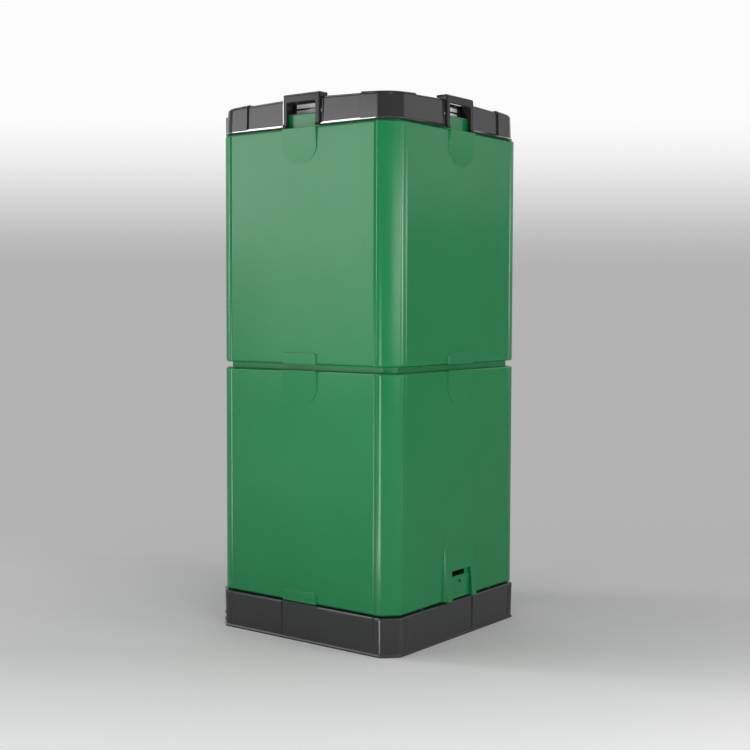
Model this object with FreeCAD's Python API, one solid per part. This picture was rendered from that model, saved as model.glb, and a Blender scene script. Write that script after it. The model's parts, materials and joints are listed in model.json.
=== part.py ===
import FreeCAD, Part
import math
import os

os.makedirs("parts", exist_ok=True)

# Insulated hot composter: a sump base, two stacked double-walled modules round an
# aeration core, and a lift-off lid with a swing latch on each side.
# Millimetres, +Z up, origin on the floor under the middle of the body.
# The front is the -Y side; the air vent is on the right, +X, side.

V = FreeCAD.Vector
ROOT2 = math.sqrt(2)

# Body plan, shared by everything that stacks
BODY_HALF = 260.0
CORNER_LEG = 32.0
WALL = 5.0
EDGE_BEVEL = 3.5
GROOVE_AT = 48.0
GROOVE_W = 7.0
GROOVE_D = 2.2

# Clearances
FIT = 0.3
RUN = 0.05
SLACK = 0.5

# Heights of the stack
BASE_H = 87.0
BASE_GAP = 3.0
MODULE_H = 528.5
MODULE_GAP = 13.5
LID_GAP = 3.5
LID_H = 63.5

# Neck, liner and seal at the top of a module
NECK_INSET = 15.0
NECK_WALL = 4.0
NECK_H = 32.0
LEDGE_W = 6.0
LEDGE_T = 3.0
FLANGE_T = 3.0
SEAL_T = 3.0
CHAMBER_INSET = 40.0
LINER_WALL = 3.0
RING_T = 8.0
TAB_AT = 140.0
TAB_W = 8.0
TAB_H = 10.0
TAB_DROP = 2.5
TAB_IN = 3.0

# Corner screws that hold a closing ring
BOSS_W = 18.0
BOSS_H = 36.0
SCREW_R = 2.25
SCREW_LONG = 26.0
SCREW_HEAD_R = 4.4
SCREW_HEAD_T = 3.0

# Grip pads at the top of each face and pads at the foot
GRIP_W = 99.0
GRIP_STRAIGHT = 46.0
GRIP_DROP = 82.0
GRIP_PROUD = 5.0
PAD_W = 98.0
PAD_H = 25.5
PAD_PROUD = 4.0
PAD_ROUND = 6.0

# Vent hood, its opening and the shutter
HOOD_W = 124.0
HOOD_TOP_W = 104.0
HOOD_H = 152.0
HOOD_SIDE_H = 112.0
HOOD_PROUD = 12.0
HOOD_DRAFT = 0.3
POCKET_W = 82.0
POCKET_H = 67.0
TRACK_D = 2.4
TRACK_FOOT = 2.0
SHUTTER_T = 2.2
SHUTTER_H = 51.0
SHUTTER_ROUND = 6.0
VENT_W = 50.0
VENT_H = 12.0
KNOB_R = 3.5
KNOB_PROUD = 2.4
KNOB_DROP = 13.0

# Air duct from the vent to the core
DUCT_WALL = 2.5

# Base tray
BAND_H = 3.5
BAND_SLOPE = 3.0
BAND_GROW = 4.0
FOOT_GROW = 2.5
RIM_GROW = 4.5
RIM_BEVEL = 3.0
DECK_T = 4.0
SKIRT_WALL = 4.5
PANEL_W = 109.0
PANEL_GROW = 1.0
FLOOR_Z = 0.0
FLOOR_T = 4.0
FLOOR_FALL = 12.0
GRATE_Z = 70.0
GRATE_T = 5.0
GRATE_ROWS = 14
GRATE_COLS = 4
GRATE_PITCH = 30.0
SLOT_LONG = 88.0
SLOT_WIDE = 8.0
SLOT_STEP = 106.0
BASE_RIB_T = 4.0
BASE_RIB_AT = (-150.0, -75.0, 75.0, 150.0)
LUG_W = 38.0
LUG_PROUD = 18.0
LUG_H = 75.0
STRIP_PROUD = 7.0
STRIP_H = 8.0
STRIP_LEVELS = (2.0, 18.0)

# Drain outlet in the rear of the base
DRAIN_Z = 26.0
SPOUT_R = 11.0
SPOUT_BORE = 8.5
SPOUT_REACH = 26.0
DRAIN_FLANGE_R = 18.0
DRAIN_FLANGE_T = 4.0
DRAIN_SEAL_T = 2.5
NUT_AF = 32.0
NUT_T = 8.0
CAP_WALL = 3.0
CAP_DEPTH = 18.0
CAP_DISC_T = 1.5
CAP_RIBS = 12
CAP_RIB_R = 1.4

# Aeration core
CORE_HALF = 55.0
CORE_WALL = 3.0
CORE_FOOT_HALF = 75.0
CORE_FOOT_T = 5.0
CORE_UPSTAND = 25.0
CORE_JOINT_T = 4.0
CORE_HEADROOM = 86.5
CORE_SHARE = 0.54
CORE_CAP_H = 22.0
CORE_CAP_LIP = 3.0
CORE_SLOT_W = 34.0
CORE_SLOT_H = 9.0
CORE_SLOT_AT = 24.0
CORE_SLOT_PITCH = 36.0
CORE_SLOT_MARGIN = 42.0

# Lid
LID_INSET = 5.0
LID_WALL = 3.5
LID_ROUND = 46.0
LID_DRAFT = 2.0
LID_EDGE = 6.0
BLOCK_DROP = 0.5
BLOCK_EDGE = 8.0
BLOCK_LEAD = 11.0
BLOCK_SLOPE = 0.063
CROSS_HALF = 166.0
CROSS_BACK = 4.0
CROSS_CAMBER = 3.5
CROWN_HALF = 64.0
CAVITY_ROUND = 26.0
BEAD_PROUD = 3.0
BEAD_SLOPE = 5.5
BEAD_H = 6.5
LIP_PROUD = 1.2
EDGE_STRIP_PROUD = 3.5
EDGE_STRIP_H = 44.0
LINER_PLATE_T = 2.0
PLATE_BACK = 2.0
RECESS_DEPTH = 40.0
RECESS_WALL = 3.0
WINDOW_W = 98.0
WINDOW_H = 9.5
WINDOW_GAP = 3.5
WINDOW_SILL = 3.0
LID_BOSS_R = 5.0
LID_BOSS_AT = 112.0
LID_BOSS_IN = 46.0

# Swing latch
LATCH_W = 108.0
LATCH_SIDE = 3.0
LATCH_LEG = 12.5
LATCH_PROUD = 2.0
LATCH_TOP_OVER = 10.5
LATCH_REACH = 31.0
LATCH_TIP_T = 2.5
LATCH_FLANGE_T = 5.0
LATCH_FRONT_T = 5.0
LATCH_BAR_H = 19.5
LATCH_LIFT = 3.0
LATCH_LEG_D = 7.0
LATCH_ROUND = 6.0
LATCH_FLARE = 2.0
PIN_R = 3.0
PIN_IN = 14.0
PIN_DROP = 16.0

# Levels and positions that follow from the sizes above
CORNER_REACH = (2 * BODY_HALF - CORNER_LEG) / ROOT2
LOWER_Z = BASE_H + BASE_GAP
UPPER_Z = LOWER_Z + MODULE_H + MODULE_GAP
SHOULDER_Z = UPPER_Z + MODULE_H
NECK_TOP = SHOULDER_Z + NECK_H
RING_Z = NECK_H - MODULE_GAP
BASE_NECK_TOP = LOWER_Z + RING_Z
NECK_IN = NECK_INSET + NECK_WALL
LINER_OUT = CHAMBER_INSET - LINER_WALL
SCREW_INSET = (WALL + LINER_OUT) / 2
LID_Z = SHOULDER_Z + LID_GAP
LID_TOP = LID_Z + LID_H
LID_HALF = BODY_HALF - LID_INSET
BLOCK_TOP = LID_TOP - BLOCK_DROP
CROSS_FACE = LID_HALF - CROSS_BACK
LID_ROOF = LID_TOP - CROSS_CAMBER - LID_WALL
LATCH_FACE = LID_HALF + LATCH_PROUD
RECESS_HALF = LATCH_W / 2 + LATCH_SIDE
RECESS_BACK = LATCH_FACE - RECESS_DEPTH
PLATE_TOP = NECK_TOP + LINER_PLATE_T
LATCH_TOP = LID_TOP + LATCH_TOP_OVER
LATCH_FOOT = SHOULDER_Z + LATCH_LIFT
PIN_O = LATCH_FACE - PIN_IN
PIN_Z = LATCH_TOP - PIN_DROP
VENT_TOP = LOWER_Z + POCKET_H - TRACK_FOOT
VENT_FOOT = VENT_TOP - VENT_H
SHUTTER_FOOT = LOWER_Z + TRACK_FOOT
TRACK_BACK = BODY_HALF - FIT
CORE_Z = GRATE_Z + GRATE_T + CORE_FOOT_T
CORE_LONG = NECK_TOP - CORE_HEADROOM - CORE_CAP_H - CORE_JOINT_T - CORE_Z
CORE_LOWER_H = CORE_SHARE * CORE_LONG
CORE_UPPER_H = CORE_LONG - CORE_LOWER_H


def leg_at(inset):
    """Corner leg of the plan that lies a given distance inside the body's faces."""
    return CORNER_LEG - (2 - ROOT2) * inset


def corners(inset, z):
    """The eight corner points of the body plan, inset and lifted to z."""
    half = BODY_HALF - inset
    cut = half - leg_at(inset)
    plan = [(cut, -half), (half, -cut), (half, cut), (cut, half),
            (-cut, half), (-half, cut), (-half, -cut), (-cut, -half)]
    return [V(x, y, z) for x, y in plan]


def closed_wire(points):
    """Polygon wire through the points and back to the first."""
    return Part.makePolygon(list(points) + [points[0]])


def extruded(points, way):
    """Solid swept from a flat polygon along a vector."""
    return Part.Face(closed_wire(points)).extrude(way)


def prism(inset, z0, z1):
    """Straight column on the body plan."""
    return extruded(corners(inset, z0), V(0, 0, z1 - z0))


def tube(outer, inner, z0, z1):
    """Straight wall between two insets of the body plan."""
    return prism(outer, z0, z1).cut(prism(inner, z0, z1))


def stack(sections):
    """Flat-faced solid through (inset, z) sections of the body plan."""
    rings = [corners(inset, z) for inset, z in sections]
    faces = [Part.Face(closed_wire(rings[0])), Part.Face(closed_wire(rings[-1]))]
    for low, high in zip(rings, rings[1:]):
        for i in range(len(low)):
            j = (i + 1) % len(low)
            faces.append(Part.Face(closed_wire([low[i], low[j], high[j], high[i]])))
    skin = Part.Compound(faces)
    skin.sewShape()
    return Part.Solid(skin.Shells[0])


def box(x0, x1, y0, y1, z0, z1):
    """Box between two corners."""
    return Part.makeBox(x1 - x0, y1 - y0, z1 - z0, V(x0, y0, z0))


def front_box(x0, x1, o0, o1, z0, z1):
    """Box on the front side, o measured outwards from the middle."""
    return box(x0, x1, -o1, -o0, z0, z1)


def turned(shape, side):
    """Copy turned to a side: 0 front, 1 right, 2 rear, 3 left."""
    copy = shape.copy()
    copy.rotate(V(0, 0, 0), V(0, 0, 1), 90 * side)
    return copy


def on_sides(shape, sides=(0, 1, 2, 3)):
    """One copy of a front-side shape on each of the sides."""
    return [turned(shape, side) for side in sides]


def edges_at(shape, z):
    """Edges that lie wholly at one level."""
    return [e for e in shape.Edges if all(abs(v.Z - z) < 1e-6 for v in e.Vertexes)]


def edges_along(shape, way):
    """Straight edges that run along a unit vector."""
    chosen = []
    for edge in shape.Edges:
        if len(edge.Vertexes) == 2:
            span = edge.Vertexes[1].Point - edge.Vertexes[0].Point
            if span.cross(way).Length < 1e-6:
                chosen.append(edge)
    return chosen


def upright_edges(shape):
    """Straight edges that run along Z."""
    return edges_along(shape, V(0, 0, 1))


def grooves(half, z0, z1):
    """V cutters either side of every corner."""
    x = BODY_HALF - GROOVE_AT
    cutters = []
    for at in (-x, x):
        points = [V(at - GROOVE_W, -half - GROOVE_D, z0), V(at + GROOVE_W, -half - GROOVE_D, z0),
                  V(at, -half + GROOVE_D, z0)]
        cutters += on_sides(extruded(points, V(0, 0, z1 - z0)))
    return cutters


def corner_points(inset, z):
    """One point on each corner diagonal, a distance inside the corner faces."""
    step = (CORNER_REACH - inset) / ROOT2
    return [V(sx * step, sy * step, z) for sx in (-1, 1) for sy in (-1, 1)]


def grip_pad(top):
    """Raised wedge at the top middle of a face, flush at its rounded foot."""
    half = GRIP_W / 2
    back = -BODY_HALF + WALL
    low = top - GRIP_STRAIGHT
    sides = [Part.makeLine(V(-half, back, low), V(-half, back, top)),
             Part.makeLine(V(-half, back, top), V(half, back, top)),
             Part.makeLine(V(half, back, top), V(half, back, low)),
             Part.Arc(V(half, back, low), V(0, back, top - GRIP_DROP), V(-half, back, low)).toShape()]
    outline = Part.Face(Part.Wire(sides)).extrude(V(0, -WALL - GRIP_PROUD, 0))
    wedge = [V(-half, back, top - GRIP_DROP), V(-half, -BODY_HALF, top - GRIP_DROP),
             V(-half, -BODY_HALF - GRIP_PROUD, top), V(-half, back, top)]
    return outline.common(extruded(wedge, V(GRIP_W, 0, 0)))


def foot_pad(z):
    """Raised pad at the foot of a face with rounded upper corners."""
    half = PAD_W / 2
    pad = front_box(-half, half, BODY_HALF - WALL, BODY_HALF + PAD_PROUD, z, z + PAD_H)
    upper = [e for e in edges_along(pad, V(0, 1, 0)) if e.Vertexes[0].Z > z + PAD_H / 2]
    return pad.makeFillet(PAD_ROUND, upper)


def shell(z, pad_sides):
    """Outer moulding of a module: grooved walls, shoulder, neck, pads, side clip tabs and bosses."""
    top = z + MODULE_H
    body = stack([(EDGE_BEVEL, z), (0, z + EDGE_BEVEL), (0, top - EDGE_BEVEL), (EDGE_BEVEL, top)])
    body = body.cut(grooves(BODY_HALF, z, top))
    body = body.cut(prism(WALL, z, top - WALL))
    body = body.cut(prism(NECK_IN, top - WALL, top))
    neck_top = top + NECK_H
    ledge_top = neck_top - SEAL_T - FLANGE_T
    added = [tube(NECK_INSET, NECK_IN, top - WALL, neck_top),
             tube(NECK_IN, NECK_IN + LEDGE_W, ledge_top - LEDGE_T, ledge_top)]
    for at in (-TAB_AT, TAB_AT):
        tab = front_box(at - TAB_W / 2, at + TAB_W / 2, BODY_HALF - WALL - TAB_IN, BODY_HALF - EDGE_BEVEL,
                        z - TAB_DROP, z + TAB_H)
        added += on_sides(tab, (1, 3))
    added += on_sides(grip_pad(top))
    added += on_sides(foot_pad(z), pad_sides)
    body = body.fuse(added)
    return body.fuse(corner_bosses(z + RING_Z + RING_T)).removeSplitter()


def corner_bosses(z):
    """Blocks inside the corners that take the closing ring's screws."""
    far = CORNER_REACH - WALL / 2
    near = CORNER_REACH - SCREW_INSET - BOSS_W / 2
    block = box(near, far, -BOSS_W / 2, BOSS_W / 2, z, z + BOSS_H)
    block = block.cut(Part.makeCylinder(SCREW_R + RUN, SCREW_LONG, V(CORNER_REACH - SCREW_INSET, 0, z)))
    block.rotate(V(0, 0, 0), V(0, 0, 1), 45)
    return on_sides(block)


def closing_ring(z):
    """Plate ring that closes the foot of a module, with sunk screw holes."""
    low = z + RING_Z
    ring = tube(WALL + FIT, CHAMBER_INSET, low, low + RING_T)
    holes = []
    for p in corner_points(SCREW_INSET, low):
        holes.append(Part.makeCylinder(SCREW_R + RUN, RING_T, p))
        holes.append(Part.makeCylinder(SCREW_HEAD_R + FIT, SCREW_HEAD_T, p))
    return ring.cut(holes)


def ring_screws(z):
    """The four screws of a closing ring."""
    screws = []
    for p in corner_points(SCREW_INSET, z + RING_Z):
        head = Part.makeCylinder(SCREW_HEAD_R, SCREW_HEAD_T, p)
        socket = Part.makeCylinder(SCREW_R, SCREW_HEAD_T / 2, p)
        screws.append(head.fuse(Part.makeCylinder(SCREW_R, SCREW_LONG, p)).cut(socket))
    return Part.makeCompound(screws)


def liner(z):
    """Inner wall of a module, hung by its flange from the neck's ledge."""
    flange_top = z + MODULE_H + NECK_H - SEAL_T
    wall = tube(LINER_OUT, CHAMBER_INSET, z + RING_Z + RING_T, flange_top)
    flange = tube(NECK_IN + FIT, CHAMBER_INSET, flange_top - FLANGE_T, flange_top)
    return wall.fuse(flange).removeSplitter()


def seal(top):
    """Flat sealing ring that lies on a liner's flange."""
    return tube(NECK_IN + 2 * FIT, LINER_OUT, top - SEAL_T, top)


def board(z):
    """Insulation board for the front side of a module."""
    length = (CORNER_REACH - SCREW_INSET - BOSS_W) / ROOT2 - SLACK
    return front_box(-length, length, BODY_HALF - LINER_OUT + SLACK, BODY_HALF - WALL - SLACK,
                     z + RING_Z + RING_T, z + MODULE_H - WALL - SLACK)


def vent_way(spread, x0, x1):
    """Box through the right wall on the vent opening's outline."""
    return box(x0, x1, -VENT_W / 2 - spread, VENT_W / 2 + spread, VENT_FOOT - spread, VENT_TOP + spread)


def hood():
    """Wedge that stands out over the vent, deepest at its foot, with drafted sides."""
    deep = HOOD_PROUD + WALL
    rings = []
    for x, draft in ((BODY_HALF - WALL / 2, 0.0), (BODY_HALF - WALL / 2 + deep, deep * HOOD_DRAFT)):
        low = HOOD_W / 2 - draft
        high = HOOD_TOP_W / 2 - draft
        rings.append([V(x, -low, LOWER_Z), V(x, low, LOWER_Z), V(x, low, LOWER_Z + HOOD_SIDE_H),
                      V(x, high, LOWER_Z + HOOD_H), V(x, -high, LOWER_Z + HOOD_H),
                      V(x, -low, LOWER_Z + HOOD_SIDE_H)])
    block = Part.makeLoft([closed_wire(r) for r in rings], True, True)
    back = BODY_HALF - WALL / 2
    slope = [V(back, -HOOD_W / 2, LOWER_Z), V(BODY_HALF + HOOD_PROUD, -HOOD_W / 2, LOWER_Z),
             V(BODY_HALF, -HOOD_W / 2, LOWER_Z + HOOD_H), V(back, -HOOD_W / 2, LOWER_Z + HOOD_H)]
    return block.common(extruded(slope, V(0, HOOD_W, 0)))


def lower_shell():
    """Lower module's shell with the vent hood in place of the right-hand foot pad."""
    body = shell(LOWER_Z, (0, 2, 3)).fuse(hood())
    pocket_top = LOWER_Z + POCKET_H
    front = BODY_HALF + HOOD_PROUD
    track_front = TRACK_BACK + SHUTTER_T + 2 * FIT
    pocket = box(TRACK_BACK, front, -POCKET_W / 2, POCKET_W / 2, LOWER_Z, pocket_top)
    track = box(TRACK_BACK, track_front, -POCKET_W / 2 - TRACK_D, POCKET_W / 2 + TRACK_D,
                SHUTTER_FOOT, pocket_top)
    return body.cut([pocket, track, vent_way(0, BODY_HALF - WALL, front)]).removeSplitter()


def vent_shutter():
    """Sliding plate that covers the vent opening when it is pushed up."""
    half = POCKET_W / 2 + TRACK_D - FIT
    plate = box(TRACK_BACK + FIT, TRACK_BACK + FIT + SHUTTER_T, -half, half,
                SHUTTER_FOOT, SHUTTER_FOOT + SHUTTER_H)
    top = SHUTTER_FOOT + SHUTTER_H
    upper = [e for e in edges_along(plate, V(1, 0, 0)) if e.Vertexes[0].Z > top - SHUTTER_ROUND]
    plate = plate.makeFillet(SHUTTER_ROUND, upper)
    hole = Part.makeCylinder(KNOB_R / 2 + RUN, SHUTTER_T, V(TRACK_BACK + FIT, 0, top - KNOB_DROP), V(1, 0, 0))
    return plate.cut(hole)


def vent_knob():
    """Button riveted in the shutter to push it by."""
    at = V(TRACK_BACK + FIT, 0, SHUTTER_FOOT + SHUTTER_H - KNOB_DROP)
    stem = Part.makeCylinder(KNOB_R / 2, SHUTTER_T + KNOB_PROUD, at, V(1, 0, 0))
    button = Part.makeCylinder(KNOB_R, KNOB_PROUD, at + V(SHUTTER_T, 0, 0), V(1, 0, 0))
    crown = at.x + SHUTTER_T + KNOB_PROUD
    outer = [e for e in button.Edges if all(abs(v.X - crown) < 1e-6 for v in e.Vertexes)]
    return stem.fuse(button.makeFillet(KNOB_PROUD / 3, outer)).removeSplitter()


def air_duct():
    """Box duct from the vent opening to the aeration core."""
    x0 = CORE_HALF
    x1 = BODY_HALF - WALL
    return vent_way(DUCT_WALL, x0, x1).cut(vent_way(0, x0, x1))


def base_skirt():
    """Outer skirt and deck of the base with a border band at its foot."""
    bevel_z = BASE_H - RIM_BEVEL
    foot_z = BAND_H + BAND_SLOPE
    skirt = stack([(-BAND_GROW, 0), (-BAND_GROW, BAND_H), (-FOOT_GROW, foot_z),
                   (-RIM_GROW, bevel_z), (RIM_BEVEL - RIM_GROW, BASE_H)])
    mean_half = BODY_HALF + (FOOT_GROW + RIM_GROW) / 2
    skirt = skirt.cut(grooves(mean_half, foot_z, BASE_H))
    face = BODY_HALF + PANEL_GROW
    panel = front_box(-PANEL_W / 2, PANEL_W / 2, face, face + 2 * RIM_GROW, foot_z, BASE_H)
    skirt = skirt.cut(on_sides(panel))
    return skirt.cut(prism(SKIRT_WALL - FOOT_GROW, 0, BASE_H - DECK_T))


def base_lugs():
    """Blocks by the rear corners and short strips by the left-hand corners."""
    end = BODY_HALF - CORNER_LEG
    lugs = []
    for x0 in (-end, end - LUG_W):
        lug = box(x0, x0 + LUG_W, BODY_HALF, BODY_HALF + LUG_PROUD, 0, LUG_H)
        outer = [e for e in upright_edges(lug) if e.Vertexes[0].Y > BODY_HALF + 1]
        lugs.append(lug.makeFillet(LUG_PROUD / 3, outer))
    side = -BODY_HALF - STRIP_PROUD
    for y0 in (-end, end - LUG_W):
        for z in STRIP_LEVELS:
            lugs.append(box(side, -BODY_HALF, y0, y0 + LUG_W, z, z + STRIP_H))
    return lugs


def base_tray():
    """Base: skirt, deck, neck and a tub whose floor falls to the drain."""
    tub_half = BODY_HALF - NECK_INSET
    floor_top = FLOOR_Z + FLOOR_T
    fall = [V(-tub_half, -tub_half, FLOOR_Z), V(-tub_half, tub_half, FLOOR_Z),
            V(-tub_half, tub_half, floor_top), V(-tub_half, -tub_half, floor_top + FLOOR_FALL)]
    floor = extruded(fall, V(2 * tub_half, 0, 0)).common(prism(NECK_INSET, FLOOR_Z, GRATE_Z))
    deck_z = BASE_H - DECK_T
    body = base_skirt().cut(prism(NECK_IN, 0, BASE_H))
    added = [tube(NECK_INSET, NECK_IN, FLOOR_Z, BASE_NECK_TOP), floor,
             tube(NECK_IN, NECK_IN + LEDGE_W, GRATE_Z - LEDGE_T, GRATE_Z)]
    for at in BASE_RIB_AT:
        rib = front_box(at - BASE_RIB_T / 2, at + BASE_RIB_T / 2, tub_half, BODY_HALF, FLOOR_Z, deck_z)
        added += on_sides(rib)
    body = body.fuse(added + base_lugs())
    tub_wall = Part.makeCylinder(SPOUT_R + RUN, NECK_WALL, V(0, tub_half - NECK_WALL, DRAIN_Z), V(0, 1, 0))
    skirt_hole = Part.makeCylinder(SPOUT_R + FIT, BODY_HALF - tub_half, V(0, tub_half + NECK_WALL, DRAIN_Z),
                                   V(0, 1, 0))
    return body.cut([tub_wall, skirt_hole]).removeSplitter()


def sump_grate():
    """Slotted floor that keeps the compost out of the sump."""
    plate = prism(NECK_IN + FIT, GRATE_Z, GRATE_Z + GRATE_T)
    slots = []
    for row in range(GRATE_ROWS):
        y = (row - (GRATE_ROWS - 1) / 2) * GRATE_PITCH
        for col in range(GRATE_COLS):
            x = (col - (GRATE_COLS - 1) / 2) * SLOT_STEP
            slots.append(box(x - SLOT_LONG / 2, x + SLOT_LONG / 2, y - SLOT_WIDE / 2, y + SLOT_WIDE / 2,
                             GRATE_Z, GRATE_Z + GRATE_T))
    return plate.cut(slots)


def rear_disc(radius, y0, y1, bore=0.0):
    """Disc or ring about the drain's axis."""
    disc = Part.makeCylinder(radius, y1 - y0, V(0, y0, DRAIN_Z), V(0, 1, 0))
    if bore:
        disc = disc.cut(Part.makeCylinder(bore, y1 - y0, V(0, y0, DRAIN_Z), V(0, 1, 0)))
    return disc


def drain_pieces():
    """Spout, seal and nut through the tub wall, and the cap with its disc."""
    wall_in = BODY_HALF - NECK_IN
    wall_out = BODY_HALF - NECK_INSET
    seat = wall_in - DRAIN_SEAL_T
    end = BODY_HALF + SPOUT_REACH
    spout = rear_disc(DRAIN_FLANGE_R, seat - DRAIN_FLANGE_T, seat)
    spout = spout.fuse(rear_disc(SPOUT_R, seat, end))
    spout = spout.cut(rear_disc(SPOUT_BORE, seat - DRAIN_FLANGE_T, end))
    washer = rear_disc(DRAIN_FLANGE_R, seat, wall_in, SPOUT_R + FIT)
    reach = NUT_AF / math.sqrt(3)
    hexagon = [V(reach * math.cos(math.radians(60 * i)), wall_out,
                 DRAIN_Z + reach * math.sin(math.radians(60 * i))) for i in range(6)]
    nut = extruded(hexagon, V(0, NUT_T, 0)).cut(rear_disc(SPOUT_R + RUN, wall_out, wall_out + NUT_T))
    disc = rear_disc(SPOUT_R, end, end + CAP_DISC_T)
    cap_r = SPOUT_R + FIT + CAP_WALL
    cap_end = end + CAP_DISC_T + CAP_WALL
    cap = rear_disc(cap_r, end - CAP_DEPTH, cap_end)
    rim = [e for e in cap.Edges if all(v.Y > cap_end - 1e-6 for v in e.Vertexes)]
    cap = cap.makeFillet(CAP_WALL / 2, rim)
    ribs = []
    for i in range(CAP_RIBS):
        turn = 2 * math.pi * i / CAP_RIBS
        at = V(cap_r * math.cos(turn), end - CAP_DEPTH, DRAIN_Z + cap_r * math.sin(turn))
        ribs.append(Part.makeCylinder(CAP_RIB_R, CAP_DEPTH, at, V(0, 1, 0)))
    cap = cap.fuse(ribs).cut(rear_disc(SPOUT_R + FIT, end - CAP_DEPTH, end + CAP_DISC_T))
    return {"drain_spout": spout, "drain_seal": washer, "drain_nut": nut,
            "drain_disc": disc, "drain_cap": cap}


def square_tube(half, wall, z0, z1):
    """Upright square tube about the middle."""
    inner = half - wall
    return box(-half, half, -half, half, z0, z1).cut(box(-inner, inner, -inner, inner, z0, z1))


def core_tube(z0, height):
    """One length of the aeration core with rows of air slots in its four sides."""
    column = square_tube(CORE_HALF, CORE_WALL, z0, z0 + height)
    rows = int((height - 2 * CORE_SLOT_MARGIN) // CORE_SLOT_PITCH) + 1
    start = z0 + (height - (rows - 1) * CORE_SLOT_PITCH) / 2
    slots = []
    for row in range(rows):
        z = start + row * CORE_SLOT_PITCH
        for at in (-CORE_SLOT_AT, CORE_SLOT_AT):
            slot = box(at - CORE_SLOT_W / 2, at + CORE_SLOT_W / 2, -CORE_HALF, CORE_HALF,
                       z - CORE_SLOT_H / 2, z + CORE_SLOT_H / 2)
            slots += on_sides(slot, (0, 1))
    return column.cut(slots)


def core_pieces():
    """Foot, two slotted lengths, the joint between them and a pitched cap."""
    plug = CORE_HALF - CORE_WALL - FIT
    plate_z = GRATE_Z + GRATE_T
    foot = box(-CORE_FOOT_HALF, CORE_FOOT_HALF, -CORE_FOOT_HALF, CORE_FOOT_HALF, plate_z, CORE_Z)
    foot = foot.fuse(square_tube(plug, CORE_WALL, plate_z, CORE_Z + CORE_UPSTAND))
    bore = plug - CORE_WALL
    foot = foot.cut(box(-bore, bore, -bore, bore, plate_z, CORE_Z))
    lower = core_tube(CORE_Z, CORE_LOWER_H)
    lower = lower.cut(vent_way(0, CORE_HALF - CORE_WALL, CORE_HALF))
    joint_z = CORE_Z + CORE_LOWER_H
    joint = square_tube(CORE_HALF, 2 * CORE_WALL + FIT, joint_z, joint_z + CORE_JOINT_T)
    upper_z = joint_z + CORE_JOINT_T
    joint = joint.fuse(square_tube(plug, CORE_WALL, joint_z - CORE_UPSTAND, upper_z + CORE_UPSTAND))
    upper = core_tube(upper_z, CORE_UPPER_H)
    cap_z = upper_z + CORE_UPPER_H
    brim = CORE_HALF + CORE_CAP_LIP
    cap = box(-brim, brim, -brim, brim, cap_z, cap_z + CORE_CAP_LIP)
    base = [V(-brim, -brim, cap_z + CORE_CAP_LIP), V(brim, -brim, cap_z + CORE_CAP_LIP),
            V(brim, brim, cap_z + CORE_CAP_LIP), V(-brim, brim, cap_z + CORE_CAP_LIP)]
    peak = brim / 4
    tip = [V(p.x / brim * peak, p.y / brim * peak, cap_z + CORE_CAP_H) for p in base]
    cap = cap.fuse(Part.makeLoft([closed_wire(base), closed_wire(tip)], True, True))
    cap = cap.fuse(square_tube(plug, CORE_WALL, cap_z - CORE_UPSTAND, cap_z))
    return {"core_foot": foot, "core_lower": lower, "core_joint": joint,
            "core_upper": upper, "core_cap": cap}


def rounded_square(half, radius, z):
    """Closed outline of a square with rounded corners."""
    edges = []
    mid = half - radius * (1 - 1 / ROOT2)
    for side in range(4):
        line = Part.makeLine(V(radius - half, -half, z), V(half - radius, -half, z))
        arc = Part.Arc(V(half - radius, -half, z), V(mid, -mid, z), V(half, radius - half, z)).toShape()
        edges += [turned(line, side), turned(arc, side)]
    return Part.Wire(edges)


def drafted_block(half, radius, z0, z1):
    """Square block with rounded corners that narrows upwards by the lid's draft."""
    top_half = half - LID_DRAFT * (z1 - z0) / LID_H
    return Part.makeLoft([rounded_square(half, radius, z0), rounded_square(top_half, radius, z1)], True, True)


def corner_block():
    """Front right corner of the lid: a rounded block whose top falls towards the corner."""
    block = drafted_block(LID_HALF, LID_ROUND, LID_Z, BLOCK_TOP)
    block = block.common(box(CROSS_HALF, BODY_HALF, -BODY_HALF, -CROSS_HALF, LID_Z, BLOCK_TOP))
    start = CROSS_HALF + LID_HALF - BLOCK_LEAD
    low = BLOCK_TOP - BLOCK_SLOPE * (2 * BODY_HALF - start)
    clear = BLOCK_TOP + BLOCK_EDGE
    fall = [V(start / 2, -start / 2, BLOCK_TOP), V(BODY_HALF, -BODY_HALF, low),
            V(BODY_HALF, -BODY_HALF, clear), V(start / 2, -start / 2, clear)]
    across = V(BODY_HALF, BODY_HALF, 0)
    block = block.cut(extruded([p - across for p in fall], across * 2))
    rim = []
    for edge in block.Edges:
        mid = edge.CenterOfMass
        beyond = mid.x - mid.y - start
        inner = any(all(abs(at - CROSS_HALF) < FIT for at in side)
                    for side in zip(*((v.X, -v.Y) for v in edge.Vertexes)))
        if beyond > FIT and not inner and abs(mid.z - BLOCK_TOP + BLOCK_SLOPE * beyond) < RUN:
            rim.append(edge)
    return block.makeFillet(BLOCK_EDGE, rim)


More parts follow.
